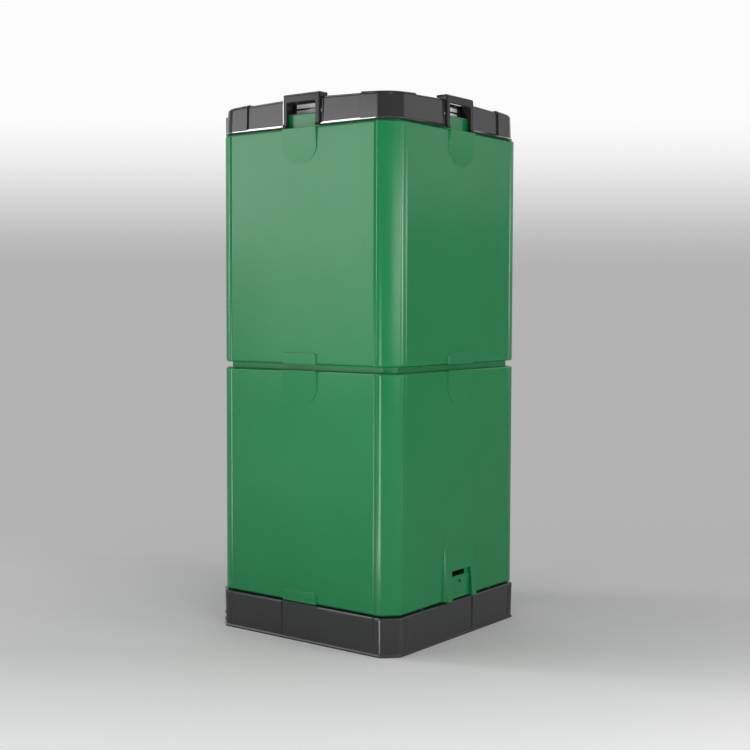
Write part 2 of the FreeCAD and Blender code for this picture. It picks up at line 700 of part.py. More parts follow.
def cross_bar():
    """Bar of the lid's cross from front to rear, cambered to a level crown."""
    half = CROSS_HALF + LID_WALL
    low = LID_TOP - CROSS_CAMBER
    top_face = CROSS_FACE - LID_DRAFT
    camber = [V(-half, -CROSS_FACE, LID_Z), V(half, -CROSS_FACE, LID_Z), V(half, -CROSS_FACE, low),
              V(CROWN_HALF, -CROSS_FACE, LID_TOP), V(-CROWN_HALF, -CROSS_FACE, LID_TOP),
              V(-half, -CROSS_FACE, low)]
    side = [V(-half, -CROSS_FACE, LID_Z), V(-half, CROSS_FACE, LID_Z),
            V(-half, top_face, LID_TOP), V(-half, -top_face, LID_TOP)]
    bar = extruded(camber, V(0, 2 * CROSS_FACE, 0)).common(extruded(side, V(2 * half, 0, 0)))
    ends = [e for e in bar.Edges if all(v.Z > low - FIT and abs(v.Y) > top_face - FIT for v in e.Vertexes)
            and abs(e.CenterOfMass.y) > top_face - FIT]
    return bar.makeFillet(LID_EDGE, ends)


def lid_bead():
    """Lower edge that runs round the lid, with a sloped upper face."""
    half = LID_HALF + BEAD_PROUD
    ring = box(-half, half, -half, half, LID_Z, LID_Z + BEAD_H)
    ring = ring.makeFillet(LID_ROUND + BEAD_PROUD, upright_edges(ring))
    return ring.makeChamfer(BEAD_SLOPE, edges_at(ring, LID_Z + BEAD_H))


def edge_strips():
    """Short upright strips on the lid's left side, by its corners."""
    end = BODY_HALF - CORNER_LEG
    outer = -LID_HALF - EDGE_STRIP_PROUD
    return [box(outer, 2 * LID_WALL - LID_HALF, y0, y0 + LUG_W, LID_Z, LID_Z + EDGE_STRIP_H)
            for y0 in (-end, end - LUG_W)]


def lid_form():
    """Outside of the lid: four corner blocks, the cross between them and the lower edge."""
    bar = cross_bar()
    added = on_sides(corner_block()) + [turned(bar, 1), lid_bead()] + edge_strips()
    return bar.fuse(added)


def recess_frame():
    """Walls and raised lips of the latch recess on the front side."""
    outer = RECESS_HALF + RECESS_WALL
    wall_back = RECESS_BACK - RECESS_WALL
    shell_in = CROSS_FACE - LID_DRAFT - LID_WALL / 2
    top = LID_TOP - SLACK
    pieces = [front_box(-outer, outer, wall_back, RECESS_BACK, PLATE_TOP, top)]
    for x0 in (-outer, RECESS_HALF):
        x1 = x0 + RECESS_WALL
        pieces.append(front_box(x0, x1, wall_back, shell_in, PLATE_TOP, top))
        pieces.append(front_box(x0, x1, CROSS_FACE - LID_WALL, CROSS_FACE + LIP_PROUD,
                                LID_Z, LID_TOP - LID_EDGE))
    return pieces


def recess_windows():
    """Two long openings in the back wall of a latch recess."""
    back = RECESS_BACK - RECESS_WALL
    windows = []
    for row in range(2):
        low = PLATE_TOP + WINDOW_SILL + row * (WINDOW_H + WINDOW_GAP)
        windows.append(front_box(-WINDOW_W / 2, WINDOW_W / 2, back, RECESS_BACK, low, low + WINDOW_H))
    return windows


def lid_boss_points(z):
    """Screw positions of the lid's lining, two on each side."""
    o = BODY_HALF - LID_BOSS_IN
    pairs = [(x, -o) for x in (-LID_BOSS_AT, LID_BOSS_AT)] + [(x, o) for x in (-LID_BOSS_AT, LID_BOSS_AT)]
    pairs += [(-o, x) for x in (-LID_BOSS_AT, LID_BOSS_AT)] + [(o, x) for x in (-LID_BOSS_AT, LID_BOSS_AT)]
    return [V(x, y, z) for x, y in pairs]


def lid_shell():
    """Lid moulding with a latch recess in the middle of each side."""
    body = lid_form().cut(drafted_block(CROSS_FACE - LID_WALL, CAVITY_ROUND, LID_Z, LID_ROOF))
    mouth = front_box(-RECESS_HALF, RECESS_HALF, RECESS_BACK, BODY_HALF, LID_Z, LATCH_TOP)
    body = body.cut(on_sides(mouth))
    added = []
    for piece in recess_frame():
        added += on_sides(piece)
    boss_h = LID_ROOF - PLATE_TOP + LID_WALL / 2
    added += [Part.makeCylinder(LID_BOSS_R, boss_h, p) for p in lid_boss_points(PLATE_TOP)]
    body = body.fuse(added)
    cuts = []
    for window in recess_windows():
        cuts += on_sides(window)
    reach = RECESS_HALF + RECESS_WALL
    cuts += on_sides(Part.makeCylinder(PIN_R + RUN, 2 * reach, V(-reach, -PIN_O, PIN_Z), V(1, 0, 0)))
    depth = SCREW_LONG - LINER_PLATE_T
    cuts += [Part.makeCylinder(SCREW_R + RUN, depth, p) for p in lid_boss_points(PLATE_TOP)]
    return body.cut(cuts).removeSplitter()


def lid_liner():
    """Plate that closes the underside of the lid and rests on the neck."""
    plate = prism(NECK_INSET + PLATE_BACK, NECK_TOP, PLATE_TOP)
    return plate.cut([Part.makeCylinder(SCREW_R + RUN, LINER_PLATE_T, p) for p in lid_boss_points(NECK_TOP)])


def lid_screws():
    """Screws that hold the lining plate to the lid's bosses."""
    screws = []
    for p in lid_boss_points(NECK_TOP):
        head = Part.makeCylinder(SCREW_HEAD_R, SCREW_HEAD_T, p - V(0, 0, SCREW_HEAD_T))
        screws.append(head.fuse(Part.makeCylinder(SCREW_R, SCREW_LONG - SCREW_HEAD_T, p)))
    return Part.makeCompound(screws)


def lid_insulation():
    """Foam block between the lining plate and the lid's roof."""
    half = RECESS_BACK - RECESS_WALL - FIT
    foam = box(-half, half, -half, half, PLATE_TOP, LID_ROOF - SLACK)
    height = LID_ROOF - PLATE_TOP
    return foam.cut([Part.makeCylinder(LID_BOSS_R + SLACK, height, p) for p in lid_boss_points(PLATE_TOP)])


def latch_profiles():
    """Side views of the latch's legs and of its grip bar, as distances from the middle and heights."""
    front = LATCH_FACE
    back = front - LATCH_REACH
    head = [(front - LATCH_ROUND, LATCH_TOP), (back, LATCH_TOP), (back, LATCH_TOP - LATCH_TIP_T)]
    leg_back = front - LATCH_LEG_D
    toe = front + LATCH_FLARE
    leg = head + [(PIN_O - 3 * PIN_R, PIN_Z - 2 * PIN_R), (leg_back, PLATE_TOP + LATCH_LIFT),
                  (leg_back, LATCH_FOOT), (toe, LATCH_FOOT), (toe, LATCH_FOOT + LATCH_FLARE),
                  (front, LATCH_FOOT + 4 * LATCH_FLARE), (front, LATCH_TOP - LATCH_ROUND)]
    bar_back = front - LATCH_FRONT_T
    bar_foot = LATCH_TOP - LATCH_BAR_H
    bar = head + [(bar_back, LATCH_TOP - LATCH_FLANGE_T), (bar_back, bar_foot), (front, bar_foot),
                  (front, LATCH_TOP - LATCH_ROUND)]
    return leg, bar


def latch_part(profile, x0, x1):
    """Stretch of the latch between two stations, with a rounded front top edge."""
    points = [V(x0, -o, z) for o, z in profile]
    edges = [Part.makeLine(a, b) for a, b in zip(points, points[1:])]
    ease = LATCH_ROUND * (1 - 1 / ROOT2)
    mid = V(x0, ease - LATCH_FACE, LATCH_TOP - ease)
    edges.append(Part.Arc(points[-1], mid, points[0]).toShape())
    return Part.Face(Part.Wire(edges)).extrude(V(x1 - x0, 0, 0))


def latch():
    """Swing latch of the front side: two legs, a grip bar and a flange over the lid."""
    leg, bar = latch_profiles()
    half = LATCH_W / 2
    body = latch_part(bar, -half, half)
    body = body.fuse([latch_part(leg, -half, LATCH_LEG - half), latch_part(leg, half - LATCH_LEG, half)])
    hole = Part.makeCylinder(PIN_R + RUN, LATCH_W, V(-half, -PIN_O, PIN_Z), V(1, 0, 0))
    return body.cut(hole).removeSplitter()


def latch_pins():
    """Pivot pins, one through each leg of the four latches into the wall of the recess."""
    inner = LATCH_W / 2 - LATCH_LEG
    reach = RECESS_HALF + RECESS_WALL - SLACK
    pins = []
    for x0 in (-reach, inner):
        pin = Part.makeCylinder(PIN_R, reach - inner, V(x0, -PIN_O, PIN_Z), V(1, 0, 0))
        pins += on_sides(pin)
    return Part.makeCompound(pins)


SIDE_NAMES = ("front", "right", "rear", "left")


def module_pieces(name, z, outer):
    """Everything that belongs to one module."""
    pieces = {name + "_shell": outer, name + "_liner": liner(z), name + "_ring": closing_ring(z),
              name + "_ring_screws": ring_screws(z)}
    for side, label in enumerate(SIDE_NAMES):
        pieces[name + "_insulation_" + label] = turned(board(z), side)
    return pieces


nodes = {"base_tray": base_tray(), "sump_grate": sump_grate()}
nodes.update(drain_pieces())
nodes.update(core_pieces())
nodes.update(module_pieces("lower", LOWER_Z, lower_shell()))
duct_room = vent_way(DUCT_WALL + FIT, BODY_HALF - CHAMBER_INSET, BODY_HALF - WALL)
nodes["lower_liner"] = nodes["lower_liner"].cut(duct_room)
nodes["lower_insulation_right"] = nodes["lower_insulation_right"].cut(duct_room)
nodes["air_duct"] = air_duct()
nodes["vent_shutter"] = vent_shutter()
nodes["vent_knob"] = vent_knob()
nodes.update(module_pieces("upper", UPPER_Z, shell(UPPER_Z, (0, 1, 2, 3))))
nodes["module_seal"] = seal(UPPER_Z + RING_Z)
nodes["lid_seal"] = seal(NECK_TOP)
nodes["lid_shell"] = lid_shell()
nodes["lid_liner"] = lid_liner()
nodes["lid_screws"] = lid_screws()
nodes["lid_insulation"] = lid_insulation()
for side, label in enumerate(SIDE_NAMES):
    nodes["latch_" + label] = turned(latch(), side)
nodes["latch_pins"] = latch_pins()

for name, shape in nodes.items():
    shape.exportStep("parts/" + name + ".step")
    state = "valid" if shape.isValid() else "BAD"
    print(name, len(shape.Solids), "solid", round(shape.Volume / 1000), "cm3", state)
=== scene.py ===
# %% [markdown]
# # A hot composter, dressed for the camera
# The solids come from the imported model, in metres, with +Z up and the floor at zero. This lesson
# gives them moulded edges, plastics and foam, a studio and the photograph's camera. The first cell
# loads the solids and keeps their box, whose top marks the upper ends of the latches. The first
# cell loads the solids and keeps their box, because the dressed bin has to stay inside it.

# %% Load the solids
import json
import math

import bmesh
import bpy
from mathutils import Matrix, Vector
from mathutils.bvhtree import BVHTree
from mathutils.geometry import delaunay_2d_cdt


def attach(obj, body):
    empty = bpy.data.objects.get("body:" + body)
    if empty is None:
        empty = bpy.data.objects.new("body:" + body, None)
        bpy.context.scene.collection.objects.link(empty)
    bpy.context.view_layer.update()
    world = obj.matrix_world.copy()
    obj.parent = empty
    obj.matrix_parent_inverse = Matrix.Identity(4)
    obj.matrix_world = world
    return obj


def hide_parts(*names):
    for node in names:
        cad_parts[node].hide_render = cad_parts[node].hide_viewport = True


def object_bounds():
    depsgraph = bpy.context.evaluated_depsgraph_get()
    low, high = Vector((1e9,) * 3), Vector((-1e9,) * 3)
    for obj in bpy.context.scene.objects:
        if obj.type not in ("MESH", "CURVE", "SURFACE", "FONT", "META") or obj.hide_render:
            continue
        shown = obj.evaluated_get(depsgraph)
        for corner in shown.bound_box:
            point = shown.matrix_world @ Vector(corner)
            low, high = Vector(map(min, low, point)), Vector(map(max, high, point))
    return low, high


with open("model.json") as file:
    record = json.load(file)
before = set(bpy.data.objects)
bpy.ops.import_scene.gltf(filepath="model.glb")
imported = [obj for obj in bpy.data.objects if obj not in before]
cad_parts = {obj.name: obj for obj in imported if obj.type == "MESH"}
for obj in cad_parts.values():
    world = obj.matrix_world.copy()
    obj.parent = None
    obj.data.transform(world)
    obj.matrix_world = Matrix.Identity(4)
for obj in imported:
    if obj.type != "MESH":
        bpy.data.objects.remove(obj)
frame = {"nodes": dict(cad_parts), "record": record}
cad_box = [list(corner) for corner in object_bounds()]
scene = bpy.context.scene
scene.view_settings.view_transform = "Standard"
print("solids:", len(frame["nodes"]), "box:", [[round(v, 3) for v in c] for c in cad_box])

# %% [markdown]
# ## The camera
# The lens was found by fitting a pinhole camera to the bin's straight edges. It could be placed by
# eye and pointed at a target, but a fitted position and its three axes give the photograph's view
# at once, down to the slight roll.

# %% Camera
CAMERA_AT = Vector((1.8863, -2.4484, 0.7718))
CAMERA_RIGHT = Vector((0.79431, 0.60751, 0.00290))
CAMERA_UP = Vector((-0.03666, 0.04317, 0.99839))
IMAGE_PIXELS = 750
FOCAL_PIXELS = 1280.9
SENSOR_MM = 36.0

lens = bpy.data.cameras.new("photo_camera")
lens.sensor_width = SENSOR_MM
lens.lens = FOCAL_PIXELS / IMAGE_PIXELS * SENSOR_MM
camera = bpy.data.objects.new("photo_camera", lens)
scene.collection.objects.link(camera)
axes = Matrix((CAMERA_RIGHT, CAMERA_UP, CAMERA_RIGHT.cross(CAMERA_UP))).transposed()
camera.matrix_world = Matrix.Translation(CAMERA_AT) @ axes.to_4x4()
scene.camera = camera
print("lens", round(lens.lens, 2), "mm")

# %% [markdown]
# ## Helpers for node trees
# The finishes and the screws are trees of nodes. Each node could be added and linked line by line, but
# the same steps come back in all of them. So one helper adds a node and sets its named inputs, and
# small ones on top of it make a sum, a range, a noise, a ramp or a bump.

# %% Node helpers
NOISE_SPAN = (0.3, 0.7)


def set_socket(tree, socket, value):
    """Link a socket to another one, or give it a value of its own."""
    if isinstance(value, bpy.types.NodeSocket):
        tree.links.new(value, socket)
    else:
        socket.default_value = value


def set_inputs(tree, node, **inputs):
    """Set the named inputs of a node, each to a socket or a value."""
    for name, value in inputs.items():
        set_socket(tree, node.inputs[name.replace("_", " ")], value)


def tree_node(tree, kind, **inputs):
    """Add a node and set its named inputs."""
    node = tree.nodes.new(kind)
    set_inputs(tree, node, **inputs)
    return node


def math_node(tree, operation, first, second):
    """Result of one operation on two values."""
    node = tree.nodes.new("ShaderNodeMath")
    node.operation = operation
    set_socket(tree, node.inputs[0], first)
    set_socket(tree, node.inputs[1], second)
    return node.outputs["Value"]


def range_node(tree, source, reach, result, kind="LINEAR"):
    """Map a value from one range onto another, held level beyond both ends."""
    node = tree_node(tree, "ShaderNodeMapRange", Value=source, From_Min=reach[0], From_Max=reach[1],
                     To_Min=result[0], To_Max=result[1])
    node.interpolation_type = kind
    return node.outputs["Result"]


def noise_node(tree, place, scale, detail, roughness):
    """Noise value at a place."""
    node = tree_node(tree, "ShaderNodeTexNoise", Vector=place, Scale=scale, Detail=detail,
                     Roughness=roughness)
    return node.outputs["Fac"]


def ramp_node(tree, source, colours, reach=NOISE_SPAN):
    """Colour ramp between two colours over part of the input."""
    node = tree_node(tree, "ShaderNodeValToRGB", Fac=source)
    for stop, position, colour in zip(node.color_ramp.elements, reach, colours):
        stop.position = position
        stop.color = (*colour, 1)
    return node.outputs["Color"]


def bump_node(tree, height, strength, depth, sunk=False, **inputs):
    """Shading normal that follows a height, raised or sunk."""
    node = tree_node(tree, "ShaderNodeBump", Height=height, Strength=strength, Distance=depth, **inputs)
    node.invert = sunk
    return node.outputs["Normal"]


def new_finish(name):
    """New material, with its node tree, its shader and its Object coordinates."""
    mat = bpy.data.materials.new(name)
    mat.use_nodes = True
    tree = mat.node_tree
    place = tree.nodes.new("ShaderNodeTexCoord").outputs["Object"]
    return mat, tree, tree.nodes["Principled BSDF"], place


# %% [markdown]
# ## Studio
# A pale floor that curves up into a wall has no horizon line behind the bin. The sheet could be a
# sculpted backdrop, but a row of points along one profile, pulled sideways, is enough. Its paper carries
# painted light: the floor is painted paler towards the camera, as if a pool of light fell there, and
# behind the bin the wall glows for the camera and in reflections, painted from grey behind the bin to
# white above it, as the photograph's background does.

# %% Floor and backdrop
PAPER_ROUGHNESS = 0.9
# Painted light: the floor paper is painted paler towards the camera, standing in for a pool of light there.
FLOOR_PAINTED_LIGHT = (0.69, 0.99)
FLOOR_LEAD = (-0.28, -0.9)
# Painted light: the wall behind the bin glows for the camera and in reflections, painted grey low and white
# high.
WALL_PAINTED_LIGHT = (0.45, 0.97)
WALL_RISE = (0.94, 1.98)
WALL_FADE = (0.45, 1.5)
WALL_TURN = math.radians(37.4)
FROM_CAMERA = Vector((-math.sin(WALL_TURN), math.cos(WALL_TURN), 0.0))
SWEEP_HALF_WIDTH = 9.0
SWEEP_FRONT = 7.0
SWEEP_BACK = 3.0
SWEEP_RADIUS = 2.0
SWEEP_HEIGHT = 6.0
SWEEP_STEPS = 12


def paper_with_painted_light(name):
    """Matt floor paper painted paler towards the camera as painted light; behind the bin it turns into a
    wall that glows with painted light, grey low and white high.
    """
    mat, tree, paper, place = new_finish(name)
    depth = tree.nodes.new("ShaderNodeVectorMath")
    depth.operation = "DOT_PRODUCT"
    set_socket(tree, depth.inputs[0], place)
    set_socket(tree, depth.inputs[1], FROM_CAMERA)
    behind = depth.outputs["Value"]
    # Painted light on the floor: its colour pales towards the camera.
    set_inputs(tree, paper, Roughness=PAPER_ROUGHNESS,
               Base_Color=range_node(tree, behind, FLOOR_LEAD, FLOOR_PAINTED_LIGHT))
    height = tree_node(tree, "ShaderNodeSeparateXYZ", Vector=place).outputs["Z"]
    # Painted light on the wall: a glow that rises from grey to white with height, seen by the camera and in
    # reflections.
    painted_wall_tone = range_node(tree, height, WALL_RISE, WALL_PAINTED_LIGHT, "SMOOTHSTEP")
    wall = tree_node(tree, "ShaderNodeEmission", Color=painted_wall_tone)
    fade = range_node(tree, behind, WALL_FADE, (0.0, 1.0), "SMOOTHSTEP")
    rays = tree.nodes.new("ShaderNodeLightPath").outputs
    seen = math_node(tree, "MAXIMUM", rays["Is Camera Ray"], rays["Is Glossy Ray"])
    mix = tree_node(tree, "ShaderNodeMixShader", Fac=math_node(tree, "MULTIPLY", seen, fade))
    set_socket(tree, mix.inputs[1], paper.outputs["BSDF"])
    set_socket(tree, mix.inputs[2], wall.outputs["Emission"])
    set_inputs(tree, tree.nodes["Material Output"], Surface=mix.outputs["Shader"])
    return mat


def sweep_backdrop():
    """Floor that bends up into a wall, as one smooth strip."""
    profile = [(-SWEEP_FRONT, 0.0), (SWEEP_BACK, 0.0)]
    for step in range(1, SWEEP_STEPS + 1):
        turn = math.radians(90 * step / SWEEP_STEPS)
        profile.append((SWEEP_BACK + SWEEP_RADIUS * math.sin(turn), SWEEP_RADIUS * (1 - math.cos(turn))))
    profile.append((SWEEP_BACK + SWEEP_RADIUS, SWEEP_HEIGHT))
    bm = bmesh.new()
    sides = (-SWEEP_HALF_WIDTH, SWEEP_HALF_WIDTH)
    rows = [[bm.verts.new((x, y, z)) for x in sides] for y, z in profile]
    for low, high in zip(rows, rows[1:]):
        bm.faces.new((low[0], low[1], high[1], high[0])).smooth = True
    mesh = bpy.data.meshes.new("studio_sweep")
    bm.to_mesh(mesh)
    bm.free()
    return bpy.data.objects.new("studio_sweep", mesh)


backdrop = sweep_backdrop()
backdrop.data.transform(Matrix.Rotation(WALL_TURN, 4, "Z"))
backdrop.data.materials.append(paper_with_painted_light("studio_paper_painted_light"))
scene.collection.objects.link(backdrop)
print("backdrop faces", len(backdrop.data.polygons))

# %% [markdown]
# ## Light
# A glossy bin shows its lamps. They could be moved about by trial, but each highlight has one mirror
# angle, so every lamp is set out from what the photograph mirrors. The front face has a pale sheen
# that fades downwards: a panel stands at the mirror angle of that face, with a weaker one below it.
# The vent side mirrors a faint panel behind it. The near corner mirrors a panel beside the camera, and
# its two edge lines mirror narrow strips farther round, two of them low, for the foot of the bin. One
# high panel, which no upright face mirrors, gives the even light. The last panel stands in front of
# the lid's sloped lower edge and draws the pale line there.

# %% Lamps and world
MIDDLE = (0.0, 0.0, 0.7)
OVERHEAD = (0.0, 0.0, 30.0)
LIP_PANEL_AT = Vector((-3.02, -1.47, 4.55))
WORLD_STRENGTH = 0.35


def around(turn_deg, distance, height):
    """Place at a compass turn and distance from the bin."""
    turn = math.radians(turn_deg)
    return Vector((math.cos(turn) * distance, math.sin(turn) * distance, height))


def soft_panel(name, at, target, wide, tall, radiance):
    """Area lamp of a stated brightness that faces a point."""
    lamp = bpy.data.lights.new(name, "AREA")
    lamp.shape = "RECTANGLE"
    lamp.size = wide
    lamp.size_y = tall
    lamp.energy = math.pi * wide * tall * radiance
    panel = bpy.data.objects.new(name, lamp)
    panel.location = at
    panel.rotation_euler = (Vector(target) - at).to_track_quat("-Z", "Y").to_euler()
    scene.collection.objects.link(panel)


soft_panel("high_front_panel", around(-42, 4.0, 3.8), MIDDLE, wide=1.6, tall=1.6, radiance=3.0)
soft_panel("front_sheen_panel", around(-128, 4.7, 1.65), MIDDLE, wide=2.6, tall=1.2, radiance=3.9)
soft_panel("front_fade_panel", around(-124, 4.7, 0.7), MIDDLE, wide=1.6, tall=0.7, radiance=2.2)
soft_panel("rear_sheen_panel", around(46, 4.0, 1.85), MIDDLE, wide=1.8, tall=1.2, radiance=0.8)
soft_panel("corner_panel", around(-25, 3.6, 0.95), MIDDLE, wide=1.3, tall=0.8, radiance=5.6)
soft_panel("low_strip", around(-76, 3.5, 0.35), MIDDLE, wide=0.8, tall=0.5, radiance=11.0)
soft_panel("floor_strip", around(-76, 1.9, 0.07), OVERHEAD, wide=0.45, tall=1.6, radiance=11.0)
soft_panel("left_strip", around(-152, 4.5, 1.15), MIDDLE, wide=0.5, tall=1.2, radiance=16.0)
soft_panel("right_strip", around(9, 3.5, 1.0), MIDDLE, wide=0.9, tall=0.8, radiance=14.0)
soft_panel("high_strip", around(-12, 3.5, 1.15), MIDDLE, wide=0.35, tall=0.35, radiance=20.0)
soft_panel("lip_panel", LIP_PANEL_AT, MIDDLE, wide=1.0, tall=1.2, radiance=7.5)

world = bpy.data.worlds.new("studio_world")
world.use_nodes = True
scene.world = world
set_inputs(world.node_tree, world.node_tree.nodes["Background"], Color=(1, 1, 1, 1), Strength=WORLD_STRENGTH)

# %% [markdown]
# ## Moulded plastics
# Large mouldings are never perfectly even. The colour drifts slightly, the gloss is patchy and the
# skin has a fine grain. A picture could be wrapped round the bin, but noise on Object coordinates
# has no seams and keeps its true size. One builder serves every plastic; only the numbers differ.
# Each noise is given by its scale, detail and roughness; the grain's scale comes with the plastic.

# %% Plastics
DRIFT_NOISE = (5.0, 4.0, 0.6)
PATCH_NOISE = (14.0, 5.0, 0.6)
WAVE_NOISE = (7.0, 1.0, 0.4)
GRAIN_NOISE = (2.0, 0.5)
WAVE_STRENGTH = 0.5
GRAIN_STRENGTH = 0.4
PLASTIC_MIRROR = 0.35


def moulded_plastic(name, colours, gloss, grain_scale, grain_depth, wave_depth,
                    mirror=PLASTIC_MIRROR, coat=0.0):
    """Plastic with drifting colour, patchy gloss, a fine grain and a slow waviness."""
    mat, tree, shader, place = new_finish(name)
    drift = noise_node(tree, place, *DRIFT_NOISE)
    patches = noise_node(tree, place, *PATCH_NOISE)
    wave = noise_node(tree, place, *WAVE_NOISE)
    grain = noise_node(tree, place, grain_scale, *GRAIN_NOISE)
    slow = bump_node(tree, wave, WAVE_STRENGTH, wave_depth)
    set_inputs(tree, shader, Specular_IOR_Level=mirror, Coat_Weight=coat,
               Base_Color=ramp_node(tree, drift, colours),
               Roughness=range_node(tree, patches, NOISE_SPAN, gloss),
               Normal=bump_node(tree, grain, GRAIN_STRENGTH, grain_depth, Normal=slow))
    return mat


green = moulded_plastic("green_moulding", ((0.004, 0.146, 0.043), (0.006, 0.157, 0.049)),
                        gloss=(0.19, 0.24), grain_scale=900.0, grain_depth=0.00005, wave_depth=0.0003)
black = moulded_plastic("black_moulding", ((0.017, 0.017, 0.018), (0.022, 0.022, 0.023)),
                        gloss=(0.11, 0.15), grain_scale=1200.0, grain_depth=0.00004, wave_depth=0.0001)
lip_black = moulded_plastic("lip_moulding", ((0.020, 0.020, 0.021), (0.026, 0.026, 0.027)),
                            gloss=(0.10, 0.14), grain_scale=1200.0, grain_depth=0.00002, wave_depth=0.00005,
                            mirror=1.0, coat=1.0)
latch_black = moulded_plastic("latch_moulding", ((0.014, 0.014, 0.015), (0.018, 0.018, 0.019)),
                              gloss=(0.18, 0.24), grain_scale=1200.0, grain_depth=0.00004, wave_depth=0.0001,
                              mirror=0.22)
base_black = moulded_plastic("base_moulding", ((0.024, 0.024, 0.025), (0.029, 0.029, 0.030)),
                             gloss=(0.17, 0.23), grain_scale=1200.0, grain_depth=0.00008, wave_depth=0.0002)
grey = moulded_plastic("grey_recycled", ((0.085, 0.085, 0.083), (0.14, 0.14, 0.135)),
                       gloss=(0.55, 0.7), grain_scale=500.0, grain_depth=0.0003, wave_depth=0.0004)
rubber = moulded_plastic("seal_rubber", ((0.012, 0.012, 0.012), (0.02, 0.02, 0.02)),
                         gloss=(0.7, 0.85), grain_scale=700.0, grain_depth=0.0002, wave_depth=0.0002)
print("plastics", [m.name for m in (green, black, lip_black, latch_black, base_black, grey, rubber)])

# %% [markdown]
# ## Foam and plated steel
# The pale bars inside the latch recesses are expanded bead foam. Its beads could be modelled, but they
# are cells a few millimetres wide, which a Voronoi texture gives directly. The screws are zinc plated,
# with a mottled gloss. The latch pins take the same finish in black, since the photograph shows no
# bright pin.

# %% Foam and metal
FOAM_ROUGHNESS = 0.8
BEAD_SCALE = 260.0
BEAD_COLOURS = ((0.92, 0.92, 0.90), (0.74, 0.74, 0.73))
BEAD_REACH = (0.2, 0.9)
BEAD_STRENGTH = 0.6
BEAD_DEPTH = 0.0006
MOTTLE_NOISE = (220.0, 5.0, 0.7)
PLATE_GLOSS = (0.28, 0.45)


def bead_foam(name):
    """White foam whose beads press against each other."""
    mat, tree, shader, place = new_finish(name)
    cells = tree_node(tree, "ShaderNodeTexVoronoi", Vector=place, Scale=BEAD_SCALE).outputs["Distance"]
    set_inputs(tree, shader, Roughness=FOAM_ROUGHNESS,
               Base_Color=ramp_node(tree, cells, BEAD_COLOURS, BEAD_REACH),
               Normal=bump_node(tree, cells, BEAD_STRENGTH, BEAD_DEPTH, sunk=True))
    return mat


def plated_steel(name, colours):
    """Plated steel with a mottled sheen."""
    mat, tree, shader, place = new_finish(name)
    mottle = noise_node(tree, place, *MOTTLE_NOISE)
    set_inputs(tree, shader, Metallic=1.0, Base_Color=ramp_node(tree, mottle, colours),
               Roughness=range_node(tree, mottle, NOISE_SPAN, PLATE_GLOSS))
    return mat


foam = bead_foam("bead_foam")
zinc = plated_steel("zinc_plate", ((0.48, 0.49, 0.50), (0.66, 0.66, 0.65)))
blackened = plated_steel("blackened_steel", ((0.018, 0.018, 0.019), (0.034, 0.034, 0.035)))
print("finishes", foam.name, zinc.name, blackened.name)

# %% [markdown]
# ## Rounded edges
# A moulding has no sharp edges, and its rims catch the light. A voxel remesh could soften everything
# at once, but it would wash out the grooves. The solids have flat faces that meet at lines, so a copy
# of each shown solid gets its loose triangles merged, its flat faces joined and a Bevel on the lines.
# Each line's bevel weight is cut down where a face beside it is too narrow, so that a wedge that runs
# out to nothing stays clean. A rule gives each line its width.

# %% Rounded copy of a solid
MERGE_DISTANCE = 1e-5
FLAT_ANGLE = math.radians(0.5)
SHARP_ANGLE = math.radians(25)
FACE_SHARE = 0.4
LARGE_SEGMENTS = 3
SMALL_SEGMENTS = 2


def bake(piece):
    """Turn an object's modifiers into a plain mesh."""
    graph = bpy.context.evaluated_depsgraph_get()
    baked = bpy.data.meshes.new_from_object(piece.evaluated_get(graph))
    piece.modifiers.clear()
    piece.data = baked


def merged_solid(node):
    """Editable mesh of a solid with its doubled points merged."""
    bm = bmesh.new()
    bm.from_mesh(frame["nodes"][node].data)
    bmesh.ops.remove_doubles(bm, verts=bm.verts, dist=MERGE_DISTANCE)
    return bm


def line_limit(edge):
    """How much a bevel may take from the faces beside an edge."""
    return min(face.calc_area() / edge.calc_length() for face in edge.link_faces) * FACE_SHARE


def rounded_copy(node, name, widths, segments):
    """Copy of a solid with rounded edges; widths gives each edge its own bevel width in metres."""
    bm = merged_solid(node)
    solid = BVHTree.FromBMesh(bm)
    bmesh.ops.dissolve_limit(bm, angle_limit=FLAT_ANGLE, verts=bm.verts, edges=bm.edges)
    bm.normal_update()
    wanted = {}
    for edge in bm.edges:
        if len(edge.link_faces) == 2 and edge.calc_face_angle(0.0) > SHARP_ANGLE:
            wanted[edge.index] = min(widths(edge), line_limit(edge))
    most = max(wanted.values())
    layer = bm.edges.layers.float.new("bevel_weight_edge")
    bm.edges.ensure_lookup_table()
    for index, width in wanted.items():
        bm.edges[index][layer] = width / most
    mesh = bpy.data.meshes.new(name)
    bm.to_mesh(mesh)
    bm.free()
    piece = bpy.data.objects.new(name, mesh)
    scene.collection.objects.link(piece)
    bevel = piece.modifiers.new("rounds", "BEVEL")
    bevel.limit_method = "WEIGHT"
    bevel.width = most
    bevel.segments = segments
    bevel.use_clamp_overlap = False
    bevel.miter_outer = "MITER_ARC"
    bake(piece)
    untangle(piece.data, solid, most)
    settle(piece)
    return piece


# %% [markdown]
# ### Tangled faces
# Where a flat face has a hole in it, or a line meets another at a sharp angle, a bevel can throw a
# point far out or cross a face's outline over itself, and the face then fills its own hole. Stray
# points go back to the solid, and a crossed face is cut into clean triangles by a constrained
# Delaunay fill. A triangle stays if a line from its middle crosses the outline an odd number of
# times, so a hole stays open and a crossed tip costs only itself.

# %% Untangle
STRAY_SHARE = 0.45
CROSSED_AREA = 1e-6
FILL_DISTANCE = 1e-7


def crossed_faces(bm):
    """Faces whose filled area differs from the area inside their outline."""
    filled = {}
    for corner, second, third in bm.calc_loop_triangles():
        legs = second.vert.co - corner.vert.co, third.vert.co - corner.vert.co
        filled[corner.face] = filled.get(corner.face, 0.0) + legs[0].cross(legs[1]).length / 2
    return [face for face, area in filled.items() if abs(area - face.calc_area()) > CROSSED_AREA]


